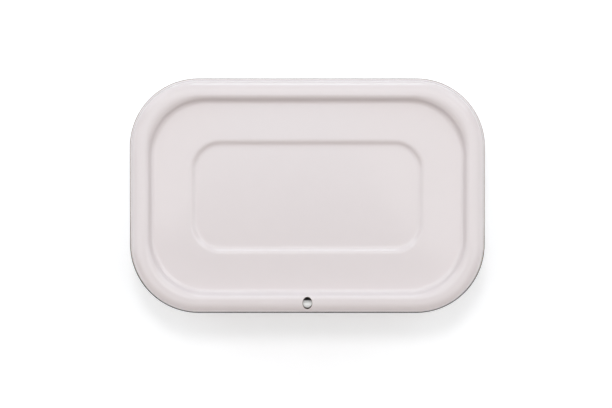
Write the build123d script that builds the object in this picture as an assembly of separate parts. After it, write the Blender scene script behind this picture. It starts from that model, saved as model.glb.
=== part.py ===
from build123d import *

import os
from math import cos, radians, sin, sqrt, tan

# Rectangular enamelled steel tin with a lift-off lid.
#
# Two deep-drawn pressings, each coated all over in glossy vitreous enamel. The tin is a tub with
# drafted walls, a raised pad in its base and a rim curled outwards into an open bead. The lid turns
# over the bead: a skirt, a broad rolled rim, a step down to a level panel and a shallow rectangular
# recess in the panel. The lid rests by the inside of its rolled rim on the bead, all the way round,
# and nothing else holds it. A hanging hole goes through the crest of the rim at the front.
#
# Frame: millimetres, +Z up, origin at the centre of the base on the surface that the tin stands on,
# X along the length, the hanging hole at the front, towards -Y. An inset is a distance inwards, in
# plan, from the outline of the closed tin.

# Outline of the closed tin, which is the hem of the lid
lid_length = 155.0
lid_width = 102.6
tin_height = 57.0
corner_radius = 30.0

# Enamelled sheet: the steel with its enamel on both faces
sheet = 0.9

# Lid: skirt and rolled rim
skirt_height = 9.5
skirt_draft = 2.5  # degrees from upright, wider at the hem
roll_radius = 5.15
crest_width = 0.7

# Lid: step from the rim down to the panel
step_depth = 3.6
step_slope = 60.0  # degrees from level
step_shoulder_radius = 2.2
step_toe_radius = 1.6
step_corner_radius = 24.9  # in plan, at the middle of the slope

# Lid: shallow recess in the panel, measured at the middle of its slope
recess_inset = 27.9
recess_corner_radius = 11.8
recess_depth = 1.2
recess_slope = 35.0  # degrees from level
recess_shoulder_radius = 2.5
recess_toe_radius = 2.5

# Lid: hanging hole through the crest of the rim at the front
hole_radius = 2.3
hole_to_crest = 0.5  # from the hole's centre in to where the roll meets the crest

# Tin: curled bead that carries the lid
bead_radius = 1.9
bead_turn = 255.0  # degrees of curl, counted from the wall over the top
bead_to_skirt = 1.5
bead_to_roll = 0.1

# Tin: wall and base
wall_draft = 3.0  # degrees from upright, wider at the mouth
base_round = 10.0
foot_width = 4.0  # from the base round in to the middle of the pad's slope
pad_rise = 0.8
pad_slope = 30.0  # degrees from level
pad_edge_radius = 2.0
pad_corner_radius = 8.0

# The most of a slope, or of a half side, that one round may take up
round_share = 0.48
corner_share = 0.9


def rounded_plate(inset, radius, height):
    """The level rounded rectangle that lies at an inset from the outline, at a height."""
    length = lid_length - 2 * inset
    width = lid_width - 2 * inset
    radius = min(radius, corner_share * min(length, width) / 2)
    return Plane.XY.offset(height) * RectangleRounded(length, width, radius)


def slope_round(radius, depth, slope):
    """The radius of a shoulder or a toe, held to the slope that it turns into."""
    slope_length = depth / sin(radians(slope))
    return min(radius, round_share * slope_length / tan(radians(slope) / 2))


def half_run(depth, slope):
    """Half of what a slope covers in plan."""
    return depth / tan(radians(slope)) / 2


def level_face(solid, height):
    """The level flat face of a solid that lies nearest to a height."""
    level = solid.faces().filter_by(GeomType.PLANE).filter_by(Axis.Z)
    return level.sort_by(lambda face: abs(face.center().Z - height))[0]


def sink(form, height, rise, inset, radius, slope, shoulder, toe, inward):
    """Presses a level floor into the level face at a height of a form, and rounds its two edges.

    The floor ends up a rise above that face, or below it where the rise is negative. The inset and
    the plan radius are those of the middle of the slope on the outer surface of the sheet. Inward is
    how far inside that surface this form's own surface lies.
    """
    run = half_run(abs(rise), slope)
    aside = inward * tan(radians(slope) / 2)
    mouth = rounded_plate(inset - aside - run, radius + aside + run, height)
    form -= extrude(mouth, abs(rise), dir=(0, 0, rise), taper=90 - slope)
    shoulder_radius = slope_round(shoulder, abs(rise), slope) - inward
    toe_radius = slope_round(toe, abs(rise), slope) + inward
    form = fillet(level_face(form, height).inner_wires()[0].edges(), shoulder_radius)
    return fillet(level_face(form, height + rise).outer_wire().edges(), toe_radius)


def roll_centre():
    """Inset and height of the centre of the lid's roll, tangent to the skirt and to the crest."""
    draft = radians(skirt_draft)
    rise = skirt_height - roll_radius
    return rise * tan(draft) + roll_radius / cos(draft), tin_height - roll_radius


def bead_centre():
    """Inset and height of the centre of the bead, which lies inside the roll and carries it."""
    roll_inset, roll_height = roll_centre()
    bead_inset = sheet + bead_to_skirt + bead_radius
    reach = roll_radius - sheet - bead_to_roll - bead_radius
    aside = roll_inset - bead_inset
    return bead_inset, roll_height + sqrt(reach**2 - aside**2)


def lid_form(inward):
    """The block under the surface that lies a distance inside the outer surface of the lid."""
    hem_height = tin_height - skirt_height
    crest_height = tin_height - inward
    hem_inset = inward / cos(radians(skirt_draft))
    shoulder = slope_round(step_shoulder_radius, step_depth, step_slope)
    shoulder_run = shoulder * tan(radians(step_slope) / 2)
    crest_end = roll_centre()[0] + crest_width
    step_inset = crest_end + shoulder_run + half_run(step_depth, step_slope)

    hem = rounded_plate(hem_inset, corner_radius - hem_inset, hem_height)
    form = extrude(hem, skirt_height - inward, taper=skirt_draft)
    form = fillet(level_face(form, crest_height).edges(), roll_radius - inward)
    form = sink(
        form,
        crest_height,
        -step_depth,
        step_inset,
        step_corner_radius,
        step_slope,
        step_shoulder_radius,
        step_toe_radius,
        inward,
    )
    return sink(
        form,
        crest_height - step_depth,
        -recess_depth,
        recess_inset,
        recess_corner_radius,
        recess_slope,
        recess_shoulder_radius,
        recess_toe_radius,
        inward,
    )


def lid():
    """The lid pressing: its sheet, with the hanging hole through the crest of the rim."""
    hole_inset = roll_centre()[0] - hole_to_crest
    drill = Pos(0, hole_inset - lid_width / 2, tin_height) * Cylinder(hole_radius, 2 * roll_radius)
    return lid_form(0) - lid_form(sheet) - drill


def tub_form(inward):
    """The block inside the surface that lies a distance inside the outer surface of the tub."""
    bead_inset, bead_height = bead_centre()
    draft = radians(wall_draft)
    top = bead_height - bead_radius
    top_inset = bead_inset + (bead_radius - sheet) / cos(draft) + bead_radius * tan(draft)
    base_inset = top_inset + top * tan(draft)
    turn = min(base_round, corner_share * (corner_radius - base_inset))
    pad_inset = base_inset + turn * tan((radians(90) - draft) / 2) + foot_width

    mouth_inset = top_inset + inward / cos(draft)
    mouth = rounded_plate(mouth_inset, corner_radius - mouth_inset, top)
    form = extrude(mouth, inward - top, taper=wall_draft)
    form = fillet(level_face(form, inward).edges(), turn - inward)
    return sink(
        form,
        inward,
        pad_rise,
        pad_inset,
        pad_corner_radius,
        pad_slope,
        pad_edge_radius,
        pad_edge_radius,
        inward,
    )


def tub():
    """The tin's wall, base round and base, from where the bead begins down to the foot."""
    return tub_form(0) - tub_form(sheet)


def bead_section():
    """The top of the wall and the curl, cut across, from the axis of a plan corner outwards."""
    bead_inset, bead_height = bead_centre()
    bottom = bead_height - bead_radius
    centre = (corner_radius - bead_inset, bead_height)
    start = 180 - wall_draft
    curls = [CenterArc(centre, radius, start, -bead_turn) for radius in (bead_radius, bead_radius - sheet)]
    walls = [Line(curl @ 0 - (curl % 0) * 2 * bead_radius, curl @ 0) for curl in curls]
    ends = [Line(curls[0] @ 1, curls[1] @ 1), Line(walls[0] @ 0, walls[1] @ 0)]
    above = Pos(0, bottom) * Rectangle(2 * corner_radius, 2 * bead_radius, align=(Align.CENTER, Align.MIN))
    return Plane.XZ * (make_face([*curls, *walls, *ends]) & above)


def carried_round(section):
    """Carries a section round the plan: turned through each corner and drawn along each side."""
    half_long = lid_length / 2 - corner_radius
    half_wide = lid_width / 2 - corner_radius
    corner = revolve(section, Axis.Z, 90)
    long_side = Rot(Z=90) * extrude(section, 2 * half_long, dir=(0, -1, 0))
    short_side = extrude(section, 2 * half_wide, dir=(0, -1, 0))
    quarter = Pos(half_long, half_wide) * corner
    quarter += Pos(-half_long, half_wide) * Rot(Z=90) * corner
    quarter += Pos(-half_long, half_wide) * long_side
    quarter += Pos(half_long, half_wide) * short_side
    return quarter + Rot(Z=180) * quarter


def tin_body():
    """The tin: the drawn tub with the bead curled out of the top of its wall."""
    return tub() + carried_round(bead_section())


def main():
    os.makedirs("parts", exist_ok=True)
    export_step(tin_body(), "parts/tin_body.step")
    export_step(lid(), "parts/lid.step")


main()
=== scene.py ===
from math import atan2, cos, hypot, pi, radians, sin, tan

import bmesh
import bpy
import numpy as np
from bpy.props import FloatProperty, FloatVectorProperty, PointerProperty
from bpy.types import Operator, Panel, PropertyGroup
from mathutils import Matrix, Vector


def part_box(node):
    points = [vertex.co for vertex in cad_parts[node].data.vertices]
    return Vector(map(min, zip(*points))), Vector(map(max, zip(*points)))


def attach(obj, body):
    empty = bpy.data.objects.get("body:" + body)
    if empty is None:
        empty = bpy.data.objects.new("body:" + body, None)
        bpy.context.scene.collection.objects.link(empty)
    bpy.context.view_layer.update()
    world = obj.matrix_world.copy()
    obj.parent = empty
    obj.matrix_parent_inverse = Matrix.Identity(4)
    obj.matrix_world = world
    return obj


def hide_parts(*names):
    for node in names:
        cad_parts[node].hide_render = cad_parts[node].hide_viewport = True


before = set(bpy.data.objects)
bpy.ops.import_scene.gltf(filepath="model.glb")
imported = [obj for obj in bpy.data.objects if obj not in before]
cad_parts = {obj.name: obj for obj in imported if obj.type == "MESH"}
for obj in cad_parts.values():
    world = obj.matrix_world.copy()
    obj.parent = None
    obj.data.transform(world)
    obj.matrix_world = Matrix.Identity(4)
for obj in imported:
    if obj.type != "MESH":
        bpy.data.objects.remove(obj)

# A rectangular enamelled steel tin with a lift-off lid, seen from above in a bright studio.
#
# The lid and the tin are each one sheet. A sheet is drawn as a line across it, in straight runs and
# tangent turns from its free edge to the middle of the plan. That line is carried round the plan on
# both faces of the sheet, and the free edge is closed with a round. Insets are plan distances inwards
# from the outline of the closed tin. Lengths are in metres.

bl_info = {
    "name": "Enamelled Tin",
    "version": (1, 0, 0),
    "blender": (4, 5, 0),
    "location": "3D View > Sidebar > Enamelled Tin",
    "description": "Builds an enamelled steel tin with a lift-off lid and the studio it is shown in",
    "category": "Add Mesh",
}

MM = 0.001
WHITE = (1.0, 1.0, 1.0)
LID_LOW, LID_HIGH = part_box("lid")
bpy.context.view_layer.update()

# Into how many steps each part of a sheet's line is divided
HEM_STEPS = 8
SKIRT_STEPS = 6
ROLL_STEPS = 14
CREST_STEPS = 3
SHOULDER_STEPS = 10
SLOPE_STEPS = 4
RECESS_STEPS = 8
LEVEL_STEPS = 9
CURL_STEPS = 40
WALL_STEPS = 12
BASE_STEPS = 20
FOOT_STEPS = 5
PAD_STEPS = 6
EDGE_STEPS = 8

# Steps round each plan corner and along each side, which has an even band in its middle for the hole
CORNER_STEPS = 24
SIDE_STEPS = 7
BAND_STEPS = 8
BAND_SHARE = 0.3

# Loops from the frame of the hole's patch in to the hole, steps of its lip, and how much more finely the
# line is divided that their heights are read from
PATCH_SHARES = (0.22, 0.42, 0.6, 0.76, 0.89, 1.0)
LIP_STEPS = 4
FINE_FACTOR = 24

# Points that lie closer than this are welded
WELD = 0.001 * MM

# No point counts as further from a cut edge than this
FAR_FROM_EDGE = 20 * MM

# How steeply the painted shade on the front of the hem falls off towards the back
FRONT_SHADE_POWER = 5.0

# Noise of the enamel: features per metre, layers of detail, and how strongly the finer layers count
CLOUD = (14, 2, 0.5)
FINE_CLOUD = (160, 3, 0.5)
PEEL = (620, 2, 0.5)
RIPPLE = (26, 1, 0.5)
RAGGED = (900, 3, 0.7)

# How far the ragged edge wanders, and where the burnt edge fades out and the thin enamel begins to, all
# in reaches of the burnt edge
RAGGED_REACH = 0.6
BURNT_FADE = (1.0, 1.4)
THIN_START = 1.2

# The broad cloud's share of the tone, how much the noise's narrow range is widened, what the tone and
# the burnt edge add to the roughness, and the enamel's index of refraction
BROAD_SHARE = 0.6
TONE_GAIN = 4.0
TONE_ROUGHNESS = 0.12
BURNT_ROUGHNESS = 0.35
ENAMEL_IOR = 1.52

# The floor's half size, how far it lies below the tin's foot, and how far the card is above the lens
FLOOR_HALF = 4.0
FLOOR_DROP = 0.1 * MM
CARD_ABOVE_LENS = 3 * MM

# Height of the white horizon, as the sine of its elevation: white up to the first, gone at the second
HORIZON_WHITE = 0.15
HORIZON_END = 0.4

# Corners of the dark card by the lens, in metres: a broad base towards the front and a narrow top
LENS_CARD = (
    (-0.343, -0.528),
    (0.377, -0.528),
    (0.377, -0.163),
    (0.107, -0.158),
    (0.055, -0.088),
    (0.042, -0.063),
    (0.042, 0.012),
    (-0.065, 0.012),
    (-0.079, -0.068),
    (-0.11, -0.133),
    (-0.343, -0.153),
)

# The card is black up to the first place, front to back, and has its full light from the second
CARD_BLACK = -0.163
CARD_LIGHT = -0.013
CARD_COLOUR = (0.01, 0.01, 0.01)


def length(label, default, note):
    """A size in metres that a user can set."""
    return FloatProperty(
        name=label, description=note, default=default, min=0.0, unit="LENGTH", precision=5
    )


def angle(label, default, note):
    """An angle that a user can set, given in degrees."""
    return FloatProperty(name=label, description=note, default=radians(default), subtype="ANGLE")


def colour(label, default, note):
    """A linear colour that a user can set."""
    return FloatVectorProperty(
        name=label, description=note, default=default, size=3, min=0.0, max=1.0, subtype="COLOR"
    )


def amount(label, default, note, top=1000.0):
    """A plain number that a user can set."""
    return FloatProperty(name=label, description=note, default=default, min=0.0, max=top)


def position(label, default, note):
    """A place in metres that a user can set."""
    return FloatVectorProperty(
        name=label, description=note, default=default, size=3, unit="LENGTH", precision=5
    )


class OutlineSizes(PropertyGroup):
    """Sizes that the lid and the tin share."""

    length: length("Length", LID_HIGH.x - LID_LOW.x, "Length of the closed tin, at the lid's hem")
    width: length("Width", LID_HIGH.y - LID_LOW.y, "Width of the closed tin, at the lid's hem")
    height: length("Height", LID_HIGH.z, "Height of the closed tin")
    corner: length("Corner radius", 30.0 * MM, "Plan radius of the closed tin's corners")
    sheet: length("Sheet", 0.9 * MM, "Thickness of the steel with its enamel on both faces")


class LidSizes(PropertyGroup):
    """Sizes of the lid."""

    skirt: length("Skirt height", LID_HIGH.z - LID_LOW.z, "From the hem to the crest of the rim")
    draft: angle("Skirt draft", 2.5, "Lean of the skirt, wider at the hem")
    hem_flare: angle("Hem flare", 45.0, "How far the hem turns outwards from the skirt")
    hem_round: length("Hem round", 2.0 * MM, "Radius of that turn")
    roll_edge: length("Roll edge", 2.8 * MM, "Radius of the rolled rim where it leaves the skirt")
    roll_top: length("Roll top", 6.54 * MM, "Radius of the rolled rim up to the crest")
    roll_meet: angle("Roll meeting", 35.0, "Slope of the rim where those two radii meet, from level")
    crest: length("Crest width", 0.7 * MM, "Level width at the top of the rim")
    step_depth: length("Step depth", 3.6 * MM, "From the crest down to the panel")
    step_slope: angle("Step slope", 60.0, "Slope of the step, from level")
    step_shoulder: length("Step shoulder", 2.2 * MM, "Radius at the top of the step")
    step_toe: length("Step toe", 1.6 * MM, "Radius at the foot of the step")
    step_corner: length("Step corner", 24.2 * MM, "Plan radius at the middle of the step's slope")
    panel_corner: length("Panel corner", 23.3 * MM, "Plan radius of the level panel's outer edge")
    recess_inset: length("Recess inset", 27.9 * MM, "Inset of the middle of the recess's slope")
    recess_corner: length("Recess corner", 11.8 * MM, "Plan radius at the middle of the recess's slope")
    recess_depth: length("Recess depth", 1.2 * MM, "From the panel down to the recess's floor")
    recess_slope: angle("Recess slope", 35.0, "Slope of the recess's edge, from level")
    recess_round: length("Recess round", 2.5 * MM, "Radius at the top and at the foot of that slope")
    hole_inset: length("Hole inset", 5.1 * MM, "Inset of the middle of the hanging hole")
    hole_across: length("Hole across", 3.9 * MM, "Size of the hole along the rim")
    hole_along: length("Hole front to back", 5.2 * MM, "Size of the hole across the rim")
    lip: length("Hole lip", 0.15 * MM, "Round of the enamel at the hole's two edges")
    patch: length("Patch", 4.0 * MM, "Half the size of the rebuilt patch of rim round the hole")
    hole_burnt: length("Burnt at hole", 0.2 * MM, "How far the burnt edge reaches at the hole")
    # The reach at the front, far beyond that at the back, paints the shade on the front of the hem
    front_burnt_and_shade: length("Burnt at front", 2.1 * MM, "How far it reaches on the hem at the front")
    back_burnt: length("Burnt at back", 0.62 * MM, "How far it reaches on the hem at the back")


class TinSizes(PropertyGroup):
    """Sizes of the tin below the lid."""

    bead: length("Bead radius", 1.9 * MM, "Outer radius of the curled bead")
    bead_turn: angle("Bead turn", 255.0, "How far the bead is curled, from the wall over the top")
    bead_to_skirt: length("Bead to skirt", 1.5 * MM, "Clearance from the bead out to the skirt")
    bead_to_roll: length("Bead to roll", 0.1 * MM, "Clearance from the bead up to the lid's roll")
    draft: angle("Wall draft", 3.0, "Lean of the wall, wider at the mouth")
    base_round: length("Base round", 10.0 * MM, "Outer radius from the wall into the base")
    foot: length("Foot width", 4.0 * MM, "From the base round in to the middle of the pad's slope")
    pad_rise: length("Pad rise", 0.8 * MM, "How far the middle of the base stands up")
    pad_slope: angle("Pad slope", 30.0, "Slope of the pad's edge, from level")
    pad_round: length("Pad round", 2.0 * MM, "Radius at the top and at the foot of that slope")
    pad_corner: length("Pad corner", 8.0 * MM, "Plan radius at the middle of the pad's slope")


class EnamelFinish(PropertyGroup):
    """Colours and surface of the enamel."""

    lid: colour("Lid enamel", (0.80, 0.73, 0.74), "Enamel of the lid")
    # Set much lighter than the lid's enamel, which paints light onto the tin's bead where it shows
    # through the hanging hole
    tin: colour("Tin enamel", (0.93, 0.91, 0.90), "Enamel of the tin")
    # On the front of the hem these two colours also paint shade there, besides the real thin and burnt
    # edge
    thin: colour("Thin enamel", (0.42, 0.33, 0.27), "Where the enamel draws back from a cut edge")
    burnt: colour("Burnt edge", (0.015, 0.012, 0.011), "The cut edge itself, where steel shows")
    roughness: amount("Roughness", 0.06, "Roughness of the glossy enamel", 1.0)
    tone: amount("Tone variation", 0.012, "How much the enamel varies in tone", 1.0)
    peel: length("Peel depth", 0.0012 * MM, "Depth of the fine orange peel")
    ripple: length("Ripple depth", 0.002 * MM, "Depth of the broad ripple of the pressed sheet")


class StudioSettings(PropertyGroup):
    """Camera, floor and lamps."""

    camera: position("Camera", (0.0, 0.105, 1.8), "Place of the lens, nearly straight above the tin")
    aim: position("Aim", (-0.6 * MM, -3.58 * MM, 47.5 * MM), "Where the lens points")
    frame_width: length("Frame width", 0.2674, "What the picture's width covers at the lid's hem")
    floor: colour("Floor", (0.93, 0.93, 0.95), "Floor that the tin stands on")
    floor_lift: amount("Floor lift", 0.24, "White that the floor adds where it is seen", 1.0)
    warm: colour("Warm light", (1.0, 0.83, 0.7), "Light from above and from all round")
    cool: colour("Cool light", (0.85, 0.95, 1.0), "Light from the back and from all lamps but the key")
    ambient: amount("Ambient", 0.06, "Strength of the even light from all round")
    sky_up: amount("Sky from above", 0.385, "Strength added straight above")
    sky_back: amount("Sky from the back", 0.44, "Strength added straight from the back")
    card: amount("Card", 1.9, "Strength of the light end of the card by the lens")
    dome: length("Lamp distance", 2.4, "How far the lamps stand from the tin")
    ceiling: amount("Ceiling light", 21.8, "Power of the broad light overhead")
    key: amount("Key light", 8.0, "Power of the small high light that casts the soft shadow")
    back: amount("Back light", 5.0, "Power of the low light from the back")
    back_sides: amount("Back side lights", 3.8, "Power of each light from the back's left and right")
    sides: amount("Side lights", 3.6, "Power of each light from the left and the right")
    low_sides: amount("Low side lights", 4.0, "Power of each low light from the left and the right")


class TinSettings(PropertyGroup):
    """All settings of the tin and its studio."""

    outline: PointerProperty(type=OutlineSizes)
    lid: PointerProperty(type=LidSizes)
    tin: PointerProperty(type=TinSizes)
    finish: PointerProperty(type=EnamelFinish)
    studio: PointerProperty(type=StudioSettings)


class SheetLine:
    """A line across one face of a pressed sheet, from its free edge to the middle of the plan.

    Each point holds its inset and height, the direction of the face's normal and its spread, which is
    its inset plus the radius of the plan corner there. The normal lies on the left of the line where
    side is 1 and on the right where it is -1.
    """

    def __init__(self, inset, height, heading, side, spread, fineness=1):
        self.place = (inset, height)
        self.heading = heading
        self.side = side
        self.spread = spread
        self.fineness = fineness
        self.points = [self.point()]

    def normal(self):
        """Direction of the face's normal here."""
        return self.heading + self.side * pi / 2

    def point(self):
        """What a point of the line holds."""
        return (*self.place, self.normal(), self.spread)

    def run(self, distance, steps, spread=None):
        """Goes straight on, with short steps at both ends, and changes the spread evenly."""
        if distance <= 0:
            raise ValueError("a straight run of the sheet has no length left")
        inset, height = self.place
        first = self.spread
        last = first if spread is None else spread
        steps *= self.fineness
        for i in range(1, steps + 1):
            share = (1 - cos(pi * i / steps)) / 2
            self.place = (
                inset + distance * share * cos(self.heading),
                height + distance * share * sin(self.heading),
            )
            self.spread = first + (last - first) * share
            self.points.append(self.point())

    def turn(self, radius, turn, steps, spread=None):
        """Goes round by an angle, to the left where it is positive, and changes the spread evenly."""
        hand = 1 if turn > 0 else -1
        first = self.spread
        last = first if spread is None else spread
        steps *= self.fineness
        inset, height = self.place
        toward = self.heading + hand * pi / 2
        centre = (inset + radius * cos(toward), height + radius * sin(toward))
        start = self.heading
        for i in range(1, steps + 1):
            self.heading = start + turn * i / steps
            out = self.heading - hand * pi / 2
            self.place = (centre[0] + radius * cos(out), centre[1] + radius * sin(out))
            self.spread = first + (last - first) * i / steps
            self.points.append(self.point())

    def run_to(self, inset, steps, spread=None):
        """Runs on, level, to an inset."""
        self.run(inset - self.place[0], steps, spread)


def step_run(depth, slope):
    """Half of what a slope covers in plan."""
    return depth / tan(slope) / 2


def press(line, slope, depth, first_round, second_round, steps, spreads=(None, None)):
    """Takes a level line down or up a slope and back to level, with a round at each end.

    The spreads are those after each of the two rounds.
    """
    tangents = (first_round + second_round) * tan(abs(slope) / 2)
    line.turn(first_round, slope, steps, spreads[0])
    line.run(depth / sin(abs(slope)) - tangents, SLOPE_STEPS)
    line.turn(second_round, -slope, steps, spreads[1])


def hem_line(outline, lid, fineness=1):
    """The start of the lid's line: its hem, which turns outwards from the skirt."""
    heading = pi / 2 - lid.draft - lid.hem_flare
    edge = outline.sheet / 2
    inset = edge * (1 - sin(heading))
    height = outline.height - lid.skirt + edge * (1 + cos(heading))
    line = SheetLine(inset, height, heading, 1, outline.corner, fineness)
    line.turn(lid.hem_round, lid.hem_flare, HEM_STEPS)
    return line


def skirt_top(outline, lid):
    """Inset and height where the skirt ends and the roll begins."""
    inset, height = hem_line(outline, lid).place
    edge_rise = lid.roll_edge * (cos(lid.roll_meet) - sin(lid.draft))
    top = outline.height - lid.roll_top * (1 - cos(lid.roll_meet)) - edge_rise
    return inset + (top - height) * tan(lid.draft), top


def roll_centre(outline, lid):
    """Inset and height of the centre of the roll's upper radius, right below the crest's start."""
    edge_run = lid.roll_edge * (cos(lid.draft) - sin(lid.roll_meet))
    inset = skirt_top(outline, lid)[0] + edge_run + lid.roll_top * sin(lid.roll_meet)
    return inset, outline.height - lid.roll_top


def lid_line(outline, lid, fineness=1):
    """The line across the upper face of the lid."""
    crest_end = roll_centre(outline, lid)[0] + lid.crest
    half_step = step_run(lid.step_depth, lid.step_slope)
    step_inset = crest_end + lid.step_shoulder * tan(lid.step_slope / 2) + half_step
    panel_inset = step_inset + half_step + lid.step_toe * tan(lid.step_slope / 2)
    half_recess_step = step_run(lid.recess_depth, lid.recess_slope)
    recess_run = lid.recess_round * tan(lid.recess_slope / 2) + half_recess_step

    line = hem_line(outline, lid, fineness)
    line.run((skirt_top(outline, lid)[1] - line.place[1]) / cos(lid.draft), SKIRT_STEPS)
    line.turn(lid.roll_edge, lid.roll_meet + lid.draft - pi / 2, ROLL_STEPS)
    line.turn(lid.roll_top, -lid.roll_meet, ROLL_STEPS)
    line.run(lid.crest, CREST_STEPS)
    press(
        line,
        -lid.step_slope,
        lid.step_depth,
        lid.step_shoulder,
        lid.step_toe,
        SHOULDER_STEPS,
        (lid.step_corner + step_inset, lid.panel_corner + panel_inset),
    )
    line.run_to(lid.recess_inset - recess_run, LEVEL_STEPS, lid.recess_corner + lid.recess_inset)
    press(line, -lid.recess_slope, lid.recess_depth, lid.recess_round, lid.recess_round, RECESS_STEPS)
    line.run_to(outline.width / 2, LEVEL_STEPS, outline.width / 2)
    return line


def tin_line(outline, lid, tin, fineness=1):
    """The line across the outer face of the tin, which begins on the inside of its curl."""
    roll_inset, roll_height = roll_centre(outline, lid)
    bead_inset = outline.sheet + tin.bead_to_skirt + tin.bead
    reach = lid.roll_top - outline.sheet - tin.bead_to_roll - tin.bead
    bead_height = roll_height + (reach**2 - (roll_inset - bead_inset) ** 2) ** 0.5
    curl = tin.bead - outline.sheet
    curl_end = tin.draft + tin.bead_turn
    wall_top = bead_height + curl * sin(tin.draft)
    wall_foot = tin.base_round * (1 - sin(tin.draft))
    pad_run = tin.pad_round * tan(tin.pad_slope / 2) + step_run(tin.pad_rise, tin.pad_slope)

    line = SheetLine(
        bead_inset + curl * cos(curl_end),
        bead_height + curl * sin(curl_end),
        curl_end - pi / 2,
        -1,
        outline.corner,
        fineness,
    )
    line.turn(curl, -tin.bead_turn, CURL_STEPS)
    line.run((wall_top - wall_foot) / cos(tin.draft), WALL_STEPS)
    line.turn(tin.base_round, pi / 2 - tin.draft, BASE_STEPS)
    pad_inset = line.place[0] + tin.foot
    line.run_to(pad_inset - pad_run, FOOT_STEPS, tin.pad_corner + pad_inset)
    press(line, tin.pad_slope, tin.pad_rise, tin.pad_round, tin.pad_round, PAD_STEPS)
    line.run_to(outline.width / 2, LEVEL_STEPS, outline.width / 2)
    return line


def other_face(points, sheet):
    """The same line on the other face of the sheet."""
    return [
        (inset - sheet * cos(normal), height - sheet * sin(normal), normal, spread)
        for inset, height, normal, spread in points
    ]


def round_edge(point, side, sheet):
    """The round of the free edge, from the other face to the first point of a line."""
    inset, height, normal, spread = point
    middle = (inset - sheet / 2 * cos(normal), height - sheet / 2 * sin(normal))
    found = []
    for i in range(1, EDGE_STEPS):
        out = normal + side * pi * (1 - i / EDGE_STEPS)
        place = (middle[0] + sheet / 2 * cos(out), middle[1] + sheet / 2 * sin(out))
        found.append((*place, out, spread))
    return found


def side_places(reach, band):
    """Places along a straight side from end to end, with an even band in the middle."""
    band = min(band, BAND_SHARE * reach)
    middle = [band * (2 * i / BAND_STEPS - 1) for i in range(BAND_STEPS + 1)]
    beyond = [band + (reach - band) * i / SIDE_STEPS for i in range(1, SIDE_STEPS + 1)]
    return [-place for place in reversed(beyond)] + middle + beyond


def ring(outline, point, band):
    """The rounded rectangle that one point of a line makes round the plan."""
    inset, height, _, spread = point
    reach_x = max(outline.length / 2 - spread, 0)
    reach_y = max(outline.width / 2 - spread, 0)
    radius = spread - inset
    front = [(x, -reach_y - radius) for x in side_places(reach_x, band)]
    right = [(reach_x + radius, y) for y in side_places(reach_y, band)]
    back = [(-x, -y) for x, y in front]
    left = [(-x, -y) for x, y in right]
    plan = []
    for side, (corner_x, corner_y), start in (
        (front, (reach_x, -reach_y), -pi / 2),
        (right, (reach_x, reach_y), 0),
        (back, (-reach_x, reach_y), pi / 2),
        (left, (-reach_x, -reach_y), pi),
    ):
        plan += side
        for i in range(1, CORNER_STEPS):
            out = start + pi / 2 * i / CORNER_STEPS
            plan.append((corner_x + radius * cos(out), corner_y + radius * sin(out)))
    return [(x, y, height) for x, y in plan]


def hem_burnt_and_shade(outline, lid, y):
    """How far the burnt edge reaches along the hem, stretched at the front to paint shade.

    At the back the reach is the burnt edge alone. Towards the front it grows steeply, so that the burnt
    and thin colours also paint the shade that falls on the front of the hem.
    """
    front_shade_share = (0.5 - y / outline.width) ** FRONT_SHADE_POWER
    return lid.back_burnt + (lid.front_burnt_and_shade - lid.back_burnt) * front_shade_share


class SheetMesh:
    """The mesh of one sheet, which keeps how far each point lies from the nearest cut edge.

    That distance is counted in reaches of the burnt edge, so it is 1 where the burnt edge ends. At the
    front of the hem a reach also takes in painted shade, so the dark colours run further there.
    """

    def __init__(self, outline, lid):
        self.outline = outline
        self.lid = lid
        self.places = []
        self.reaches = []
        self.faces = []

    def add(self, place, reaches):
        """Adds a point and returns its index."""
        self.places.append(place)
        self.reaches.append(reaches)
        return len(self.places) - 1

    def add_ring(self, point, distance):
        """Adds the ring of one point of a line, which lies at a distance from the free edge."""
        return [
            self.add(place, distance / hem_burnt_and_shade(self.outline, self.lid, place[1]))
            for place in ring(self.outline, point, self.lid.patch)
        ]

    def bridge(self, one, other, open_columns=()):
        """Joins two rings with four-sided faces, apart from those at the open columns."""
        count = len(one)
        for i in range(count):
            if i not in open_columns:
                j = (i + 1) % count
                self.faces.append((one[i], one[j], other[j], other[i]))

    def make(self, name):
        """Makes the object, welds the middle of both faces and turns all faces outwards."""
        mesh = bpy.data.meshes.new(name)
        mesh.from_pydata(self.places, [], self.faces)
        store = mesh.attributes.new("edge_reaches", "FLOAT", "POINT")
        store.data.foreach_set("value", self.reaches)
        edit = bmesh.new()
        edit.from_mesh(mesh)
        bmesh.ops.remove_doubles(edit, verts=edit.verts, dist=WELD)
        bmesh.ops.recalc_face_normals(edit, faces=edit.faces)
        edit.to_mesh(mesh)
        edit.free()
        mesh.shade_smooth()
        made = bpy.data.objects.new(name, mesh)
        bpy.context.scene.collection.objects.link(made)
        return made


def travelled(points):
    """How far along a line each of its points lies."""
    total = 0.0
    found = [total]
    for (inset, height, *_), (next_inset, next_height, *_) in zip(points, points[1:]):
        total += hypot(next_inset - inset, next_height - height)
        found.append(total)
    return found


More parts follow.
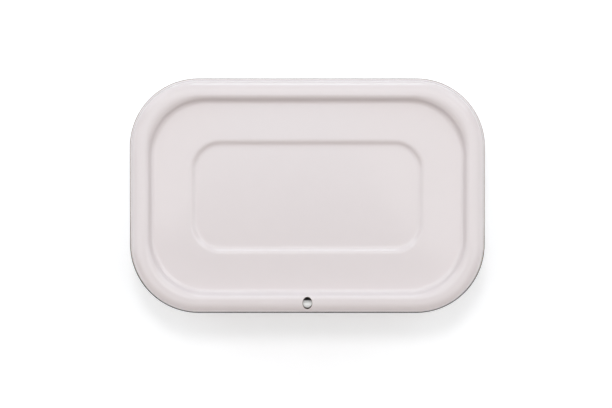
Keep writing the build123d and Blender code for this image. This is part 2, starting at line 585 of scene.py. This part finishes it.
def lay_sheet(mesh, line, hole=None):
    """Carries a line round the plan on both faces of the sheet and rounds the free edge.

    Returns the rings of the near face and of the far face. The hole's patch is left open in both.
    """
    sheet = mesh.outline.sheet
    near = line.points
    far = other_face(near, sheet)
    edge = round_edge(near[0], line.side, sheet)
    quarter = sheet * pi / 4
    run = [min(way + quarter, FAR_FROM_EDGE) for way in travelled(near)]
    near_rings = [mesh.add_ring(point, way) for point, way in zip(near, run)]
    far_rings = [mesh.add_ring(point, way) for point, way in zip(far, run)]
    middle = EDGE_STEPS / 2
    edge_rings = []
    for i, point in enumerate(edge, 1):
        edge_rings.append(mesh.add_ring(point, quarter * abs(i - middle) / middle))
    chain = [far_rings[0], *edge_rings, near_rings[0]]
    for one, other in zip(chain, chain[1:]):
        mesh.bridge(one, other)
    for rings in (near_rings, far_rings):
        for row, (one, other) in enumerate(zip(rings, rings[1:])):
            is_open = hole is not None and hole["first"] <= row < hole["last"]
            mesh.bridge(one, other, hole["columns"] if is_open else ())
    return near_rings, far_rings


def plan_frame(rings, first, last, columns):
    """The loop of points round an open patch of a face, anticlockwise seen from above."""
    start, stop = columns[0], columns[-1] + 1
    outer = [rings[first][i] for i in range(start, stop + 1)]
    right = [rings[row][stop] for row in range(first + 1, last)]
    inner = [rings[last][i] for i in range(stop, start - 1, -1)]
    left = [rings[row][start] for row in range(last - 1, first, -1)]
    return outer + right + inner + left


def open_hole(mesh, frame_loop, line, lid, is_far):
    """Fills the patch of one face from its frame in to the hole's edge, and rounds that edge.

    line is a finely divided line across the near face, for the heights. The hole was punched before
    the rim was rolled, so its wall goes square through the sheet. Returns the last loop, where that
    wall begins.
    """
    outline = mesh.outline
    side = -1 if is_far else 1
    face = other_face(line, outline.sheet) if is_far else line
    middle_y = lid.hole_inset - outline.width / 2

    def read(points, column, y):
        """Height or normal of a face where its front side has a given y."""
        inset = y + outline.width / 2
        insets = [point[0] for point in points]
        return float(np.interp(inset, insets, [point[column] for point in points]))

    def edge(heading, grow):
        """Place of the hole's edge at a heading, where the hole is larger by grow."""
        x = (lid.hole_across / 2 + grow) * cos(heading)
        y = middle_y + (lid.hole_along / 2 + grow) * sin(heading)
        if is_far:
            y -= outline.sheet * cos(read(line, 2, y))
        return x, y

    headings = []
    for index in frame_loop:
        x, y, _ = mesh.places[index]
        headings.append(atan2((y - middle_y) / lid.hole_along, x / lid.hole_across))
    loops = [frame_loop]
    for share in PATCH_SHARES:
        loop = []
        for index, heading in zip(frame_loop, headings):
            x, y, _ = mesh.places[index]
            edge_x, edge_y = edge(heading, lid.lip)
            place_x = x + (edge_x - x) * share
            place_y = y + (edge_y - y) * share
            distance = lid.lip * pi / 2 + hypot(place_x - edge_x, place_y - edge_y)
            loop.append(mesh.add((place_x, place_y, read(face, 1, place_y)), distance / lid.hole_burnt))
        loops.append(loop)
    for i in range(1, LIP_STEPS + 1):
        turn = pi / 2 * i / LIP_STEPS
        sunk = side * lid.lip * (1 - cos(turn))
        reaches = lid.lip * (pi / 2 - turn) / lid.hole_burnt
        loop = []
        for heading in headings:
            x, y = edge(heading, lid.lip * (1 - sin(turn)))
            normal = read(face, 2, y)
            height = read(face, 1, y) - sunk * sin(normal)
            loop.append(mesh.add((x, y - sunk * cos(normal), height), reaches))
        loops.append(loop)
    for one, other in zip(loops, loops[1:]):
        mesh.bridge(one, other)
    return loops[-1]


def first_index(values, limit):
    """Index of the first value that is above a limit."""
    return next(i for i, value in enumerate(values) if value > limit)


def build_lid(outline, lid):
    """The mesh of the lid with its hanging hole."""
    line = lid_line(outline, lid)
    fine = lid_line(outline, lid, FINE_FACTOR).points
    insets = [point[0] for point in line.points]
    hole = {
        "first": first_index(insets, lid.hole_inset - lid.patch) - 1,
        "last": first_index(insets, lid.hole_inset + lid.patch + outline.sheet / 2),
        "columns": range(SIDE_STEPS, SIDE_STEPS + BAND_STEPS),
    }
    mesh = SheetMesh(outline, lid)
    near_rings, far_rings = lay_sheet(mesh, line, hole)
    span = (hole["first"], hole["last"], hole["columns"])
    upper = open_hole(mesh, plan_frame(near_rings, *span), fine, lid, False)
    lower = open_hole(mesh, plan_frame(far_rings, *span), fine, lid, True)
    mesh.bridge(upper, lower)
    return mesh.make("lid_shell")


def build_tin(outline, lid, tin):
    """The mesh of the tin."""
    mesh = SheetMesh(outline, lid)
    lay_sheet(mesh, tin_line(outline, lid, tin))
    return mesh.make("tin_shell")


def add_socket(group, name, kind, default=None, output=False):
    """Adds a named input or output to a shader group."""
    socket = group.interface.new_socket(name, in_out="OUTPUT" if output else "INPUT", socket_type=kind)
    if default is not None:
        socket.default_value = default


def calc(nodes, links, operation, *values, clamp=False):
    """Adds a math node, links or sets each of its values, and returns its result."""
    node = nodes.new("ShaderNodeMath")
    node.operation = operation
    node.use_clamp = clamp
    for socket, value in zip(node.inputs, values):
        if isinstance(value, (int, float)):
            socket.default_value = value
        else:
            links.new(value, socket)
    return node.outputs[0]


def set_inputs(node, **values):
    """Sets inputs of a node, whose names are written with underscores for spaces."""
    for name, value in values.items():
        node.inputs[name.replace("_", " ")].default_value = value


def noise(nodes, links, place, scale, detail, roughness):
    """Adds a noise texture over a place and returns its value."""
    node = nodes.new("ShaderNodeTexNoise")
    set_inputs(node, Scale=scale, Detail=detail, Roughness=roughness)
    links.new(place, node.inputs["Vector"])
    return node.outputs["Fac"]


def mix_colour(nodes, links, share, one, other):
    """Mixes two colours by a share and returns the result."""
    node = nodes.new("ShaderNodeMix")
    node.data_type = "RGBA"
    links.new(share, node.inputs[0])
    for value, socket in ((one, node.inputs[6]), (other, node.inputs[7])):
        if isinstance(value, tuple):
            socket.default_value = value
        else:
            links.new(value, socket)
    return node.outputs[2]


def ramp_down(nodes, links, value, start, stop):
    """1 where a value is below start, falling smoothly to 0 at stop."""
    node = nodes.new("ShaderNodeMapRange")
    node.interpolation_type = "SMOOTHSTEP"
    set_inputs(node, From_Min=start, To_Min=1, To_Max=0)
    if isinstance(stop, (int, float)):
        node.inputs["From Max"].default_value = stop
    else:
        links.new(stop, node.inputs["From Max"])
    links.new(value, node.inputs["Value"])
    return node.outputs["Result"]


def new_material(name):
    """A new material with its nodes, its links and its shader."""
    material = bpy.data.materials.new(name)
    material.use_nodes = True
    tree = material.node_tree
    return material, tree.nodes, tree.links, tree.nodes["Principled BSDF"]


def fired_enamel_group():
    """Glossy enamel fired on steel: its tone, its thin cut edges, its orange peel and its ripple."""
    group = bpy.data.node_groups.new("fired_enamel", "ShaderNodeTree")
    add_socket(group, "Place", "NodeSocketVector")
    add_socket(group, "Edge Reaches", "NodeSocketFloat", 10.0)
    add_socket(group, "Enamel", "NodeSocketColor", (0.8, 0.8, 0.8, 1))
    add_socket(group, "Thin Enamel", "NodeSocketColor", (0.4, 0.3, 0.3, 1))
    add_socket(group, "Burnt Edge", "NodeSocketColor", (0.03, 0.03, 0.03, 1))
    add_socket(group, "Thin Reaches", "NodeSocketFloat", 2.0)
    add_socket(group, "Tone Variation", "NodeSocketFloat", 0.01)
    add_socket(group, "Gloss Roughness", "NodeSocketFloat", 0.15)
    add_socket(group, "Peel Depth", "NodeSocketFloat", 0.001 * MM)
    add_socket(group, "Ripple Depth", "NodeSocketFloat", 0.005 * MM)
    add_socket(group, "Color", "NodeSocketColor", output=True)
    add_socket(group, "Roughness", "NodeSocketFloat", output=True)
    add_socket(group, "Height", "NodeSocketFloat", output=True)
    nodes, links = group.nodes, group.links
    given = nodes.new("NodeGroupInput").outputs
    result = nodes.new("NodeGroupOutput").inputs
    place = given["Place"]

    cloud = noise(nodes, links, place, *CLOUD)
    fine_cloud = noise(nodes, links, place, *FINE_CLOUD)
    peel = noise(nodes, links, place, *PEEL)
    ripple = noise(nodes, links, place, *RIPPLE)
    ragged = noise(nodes, links, place, *RAGGED)

    wander = calc(nodes, links, "MULTIPLY_ADD", ragged, RAGGED_REACH, given["Edge Reaches"])
    # At the front of the hem these burnt and thin masks reach further and paint shade there
    burnt = ramp_down(nodes, links, wander, *BURNT_FADE)
    thin = ramp_down(nodes, links, wander, THIN_START, given["Thin Reaches"])

    broad = calc(nodes, links, "MULTIPLY", cloud, BROAD_SHARE)
    mixed_tone = calc(nodes, links, "MULTIPLY_ADD", fine_cloud, 1 - BROAD_SHARE, broad)
    shift = calc(nodes, links, "SUBTRACT", mixed_tone, 0.5)
    variation = calc(nodes, links, "MULTIPLY", given["Tone Variation"], TONE_GAIN)
    gain = calc(nodes, links, "MULTIPLY_ADD", shift, variation, 1.0)
    toned = nodes.new("ShaderNodeVectorMath")
    toned.operation = "SCALE"
    links.new(given["Enamel"], toned.inputs[0])
    links.new(gain, toned.inputs["Scale"])
    thinned = mix_colour(nodes, links, thin, toned.outputs[0], given["Thin Enamel"])
    links.new(mix_colour(nodes, links, burnt, thinned, given["Burnt Edge"]), result["Color"])

    gloss = calc(nodes, links, "MULTIPLY_ADD", shift, TONE_ROUGHNESS, given["Gloss Roughness"])
    rough = calc(nodes, links, "MULTIPLY_ADD", burnt, BURNT_ROUGHNESS, gloss, clamp=True)
    links.new(rough, result["Roughness"])

    fine_height = calc(nodes, links, "MULTIPLY", peel, given["Peel Depth"])
    height = calc(nodes, links, "MULTIPLY_ADD", ripple, given["Ripple Depth"], fine_height)
    links.new(height, result["Height"])
    return group


def enamel_material(name, group, enamel, finish):
    """One enamelled sheet's material, around the shared enamel group."""
    material, nodes, links, shader = new_material(name)
    set_inputs(shader, IOR=ENAMEL_IOR)
    coordinates = nodes.new("ShaderNodeTexCoord")
    edge = nodes.new("ShaderNodeAttribute")
    edge.attribute_name = "edge_reaches"
    effect = nodes.new("ShaderNodeGroup")
    effect.node_tree = group
    set_inputs(effect, Enamel=(*enamel, 1), Thin_Enamel=(*finish.thin, 1), Burnt_Edge=(*finish.burnt, 1))
    set_inputs(effect, Tone_Variation=finish.tone, Gloss_Roughness=finish.roughness)
    set_inputs(effect, Peel_Depth=finish.peel, Ripple_Depth=finish.ripple)
    links.new(coordinates.outputs["Object"], effect.inputs["Place"])
    links.new(edge.outputs["Fac"], effect.inputs["Edge Reaches"])
    bump = nodes.new("ShaderNodeBump")
    set_inputs(bump, Strength=1.0, Distance=1.0)
    links.new(effect.outputs["Height"], bump.inputs["Height"])
    links.new(effect.outputs["Color"], shader.inputs["Base Color"])
    links.new(effect.outputs["Roughness"], shader.inputs["Roughness"])
    links.new(bump.outputs["Normal"], shader.inputs["Normal"])
    return material


def shared_enamel():
    """The enamel group, made on first use."""
    return bpy.data.node_groups.get("fired_enamel") or fired_enamel_group()


class LidOperator(Operator):
    """Builds the lid and gives it its enamel"""

    bl_idname = "enamelled_tin.lid"
    bl_label = "Lid"

    def execute(self, context):
        settings = context.scene.enamelled_tin
        made = build_lid(settings.outline, settings.lid)
        made.data.materials.append(
            enamel_material("lid_enamel", shared_enamel(), settings.finish.lid, settings.finish)
        )
        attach(made, "lid")
        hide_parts("lid")
        return {"FINISHED"}


class TinOperator(Operator):
    """Builds the tin below the lid and gives it its enamel"""

    bl_idname = "enamelled_tin.tin"
    bl_label = "Tin"

    def execute(self, context):
        settings = context.scene.enamelled_tin
        made = build_tin(settings.outline, settings.lid, settings.tin)
        made.data.materials.append(
            enamel_material("tin_enamel", shared_enamel(), settings.finish.tin, settings.finish)
        )
        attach(made, "tin")
        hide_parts("tin_body")
        return {"FINISHED"}


def area_light(name, power, place, size, tint):
    """A square lamp at a place, turned to the tin, that the camera doesn't see."""
    data = bpy.data.lights.new(name, "AREA")
    data.size = size
    data.energy = power
    data.color = tint
    lamp = bpy.data.objects.new(name, data)
    lamp.location = place
    lamp.rotation_euler = (-Vector(place)).to_track_quat("-Z", "Y").to_euler()
    lamp.visible_camera = False
    bpy.context.scene.collection.objects.link(lamp)
    return lamp


def dome_place(studio, azimuth, elevation):
    """A place on the dome round the tin, at an azimuth from the back and an elevation, in degrees."""
    out = studio.dome * cos(radians(elevation))
    return (
        out * sin(radians(azimuth)),
        out * cos(radians(azimuth)),
        studio.dome * sin(radians(elevation)),
    )


def dome_lamps(studio):
    """Each lamp's name, azimuth, elevation, size as a share of its distance, and power."""
    return (
        ("ceiling_light", 0, 90, 1.0, studio.ceiling),
        ("key_light", -3, 74, 0.115, studio.key),
        ("back_light", 0, 22, 0.3, studio.back),
        ("back_left_light", -45, 35, 0.375, studio.back_sides),
        ("back_right_light", 45, 35, 0.375, studio.back_sides),
        ("left_light", -90, 50, 0.42, studio.sides),
        ("right_light", 90, 50, 0.42, studio.sides),
        ("low_left_light", -90, 18, 0.375, studio.low_sides),
        ("low_right_light", 90, 18, 0.375, studio.low_sides),
    )


def looking_down(sight):
    """The rotation of a camera that looks along a steep line of sight, with +Y up in its picture."""
    back = -sight.normalized()
    right = Vector((0, 1, 0)).cross(back).normalized()
    return Matrix((right, back.cross(right), back)).transposed().to_euler()


def flat_mesh(name, corners):
    """A level plate with the given corners."""
    mesh = bpy.data.meshes.new(name)
    mesh.from_pydata(corners, [], [range(len(corners))])
    made = bpy.data.objects.new(name, mesh)
    bpy.context.scene.collection.objects.link(made)
    return made


def seen_ray(nodes, links):
    """1 for a ray that shows a surface to the lens, directly, reflected or through glass."""
    path = nodes.new("ShaderNodeLightPath")
    seen = calc(nodes, links, "ADD", path.outputs["Is Camera Ray"], path.outputs["Is Glossy Ray"])
    return calc(nodes, links, "ADD", seen, path.outputs["Is Transmission Ray"], clamp=True)


def floor_material(studio):
    """A pale floor that keeps shadows, made whiter where it is seen or reflected."""
    material, nodes, links, shader = new_material("studio_floor")
    set_inputs(shader, Base_Color=(*studio.floor, 1), Emission_Color=(*WHITE, 1))
    set_inputs(shader, Roughness=1.0, Specular_IOR_Level=0.0)
    lift = calc(nodes, links, "MULTIPLY", seen_ray(nodes, links), studio.floor_lift)
    links.new(lift, shader.inputs["Emission Strength"])
    return material


def card_material(studio):
    """A card that is black at the front and ever lighter to the back."""
    material, nodes, links, shader = new_material("lens_card")
    set_inputs(shader, Base_Color=(*CARD_COLOUR, 1), Emission_Color=(*studio.cool, 1))
    set_inputs(shader, Specular_IOR_Level=0.0)
    place = nodes.new("ShaderNodeSeparateXYZ")
    links.new(nodes.new("ShaderNodeTexCoord").outputs["Object"], place.inputs[0])
    dark = ramp_down(nodes, links, place.outputs["Y"], CARD_BLACK, CARD_LIGHT)
    light = calc(nodes, links, "SUBTRACT", 1.0, dark)
    links.new(calc(nodes, links, "MULTIPLY", light, studio.card), shader.inputs["Emission Strength"])
    return material


def studio_world(studio):
    """Soft light from all round, warmer from above and cooler from the back, over a white horizon."""
    world = bpy.data.worlds.new("studio_world")
    world.use_nodes = True
    nodes, links = world.node_tree.nodes, world.node_tree.links
    background = nodes["Background"]
    direction = nodes.new("ShaderNodeSeparateXYZ")
    links.new(nodes.new("ShaderNodeTexCoord").outputs["Generated"], direction.inputs[0])
    up = calc(nodes, links, "MAXIMUM", direction.outputs["Z"], 0.0)
    back = calc(nodes, links, "MAXIMUM", direction.outputs["Y"], 0.0)
    light = calc(nodes, links, "MULTIPLY_ADD", up, studio.sky_up, studio.ambient)
    light = calc(nodes, links, "MULTIPLY_ADD", back, studio.sky_back, light)
    horizon = ramp_down(nodes, links, direction.outputs["Z"], HORIZON_WHITE, HORIZON_END)
    seen = calc(nodes, links, "MULTIPLY", seen_ray(nodes, links), horizon)
    tint = mix_colour(nodes, links, back, (*studio.warm, 1), (*studio.cool, 1))
    links.new(mix_colour(nodes, links, seen, tint, (*WHITE, 1)), background.inputs["Color"])
    to_white = calc(nodes, links, "SUBTRACT", 1.0, light)
    links.new(calc(nodes, links, "MULTIPLY_ADD", to_white, seen, light), background.inputs["Strength"])
    return world


class StageOperator(Operator):
    """Sets up the floor, the lamps, the dark card by the lens and the camera"""

    bl_idname = "enamelled_tin.stage"
    bl_label = "Stage"

    def execute(self, context):
        scene = context.scene
        studio = scene.enamelled_tin.studio
        scene.world = studio_world(studio)
        scene.view_settings.view_transform = "Standard"

        square = ((-1, -1), (1, -1), (1, 1), (-1, 1))
        corners = [(x * FLOOR_HALF, y * FLOOR_HALF, -FLOOR_DROP) for x, y in square]
        floor = flat_mesh("studio_floor", corners)
        floor.data.materials.append(floor_material(studio))

        height = studio.camera[2] + CARD_ABOVE_LENS
        card = flat_mesh("lens_card", [(x, y, height) for x, y in LENS_CARD])
        card.data.materials.append(card_material(studio))
        card.visible_camera = False

        for name, azimuth, elevation, size, power in dome_lamps(studio):
            place = dome_place(studio, azimuth, elevation)
            is_key = name == "key_light"
            tint = WHITE if is_key else studio.cool
            lamp = area_light(name, power, place, size * studio.dome, tint)
            lamp.visible_glossy = not is_key

        camera = bpy.data.cameras.new("camera")
        sight = Vector(studio.aim) - Vector(studio.camera)
        camera.lens = camera.sensor_width * sight.length / studio.frame_width
        holder = bpy.data.objects.new("camera", camera)
        holder.location = studio.camera
        holder.rotation_euler = looking_down(sight)
        scene.collection.objects.link(holder)
        scene.camera = holder
        return {"FINISHED"}


class TinPanel(Panel):
    """Lists the tin's sizes, finish and studio, and the steps that build them"""

    bl_idname = "VIEW3D_PT_enamelled_tin"
    bl_label = "Enamelled Tin"
    bl_space_type = "VIEW_3D"
    bl_region_type = "UI"
    bl_category = "Enamelled Tin"

    def draw(self, context):
        settings = context.scene.enamelled_tin
        for title, group in (
            ("Outline", settings.outline),
            ("Lid", settings.lid),
            ("Tin", settings.tin),
            ("Finish", settings.finish),
            ("Studio", settings.studio),
        ):
            box = self.layout.box()
            box.label(text=title)
            for name in group.__annotations__:
                box.prop(group, name)
        for operator in BUILD_STEPS:
            self.layout.operator(operator.bl_idname)


SETTING_GROUPS = (OutlineSizes, LidSizes, TinSizes, EnamelFinish, StudioSettings, TinSettings)
BUILD_STEPS = (TinOperator, LidOperator, StageOperator)


def register():
    """Makes the tin's settings, steps and panel known to Blender."""
    for kind in (*SETTING_GROUPS, *BUILD_STEPS, TinPanel):
        bpy.utils.register_class(kind)
    bpy.types.Scene.enamelled_tin = PointerProperty(type=TinSettings)


def unregister():
    """Takes them out again."""
    del bpy.types.Scene.enamelled_tin
    for kind in reversed((*SETTING_GROUPS, *BUILD_STEPS, TinPanel)):
        bpy.utils.unregister_class(kind)


def main():
    """Builds the tin in its studio."""
    register()
    bpy.ops.enamelled_tin.tin()
    bpy.ops.enamelled_tin.lid()
    bpy.ops.enamelled_tin.stage()


if __name__ == "__main__":
    main()
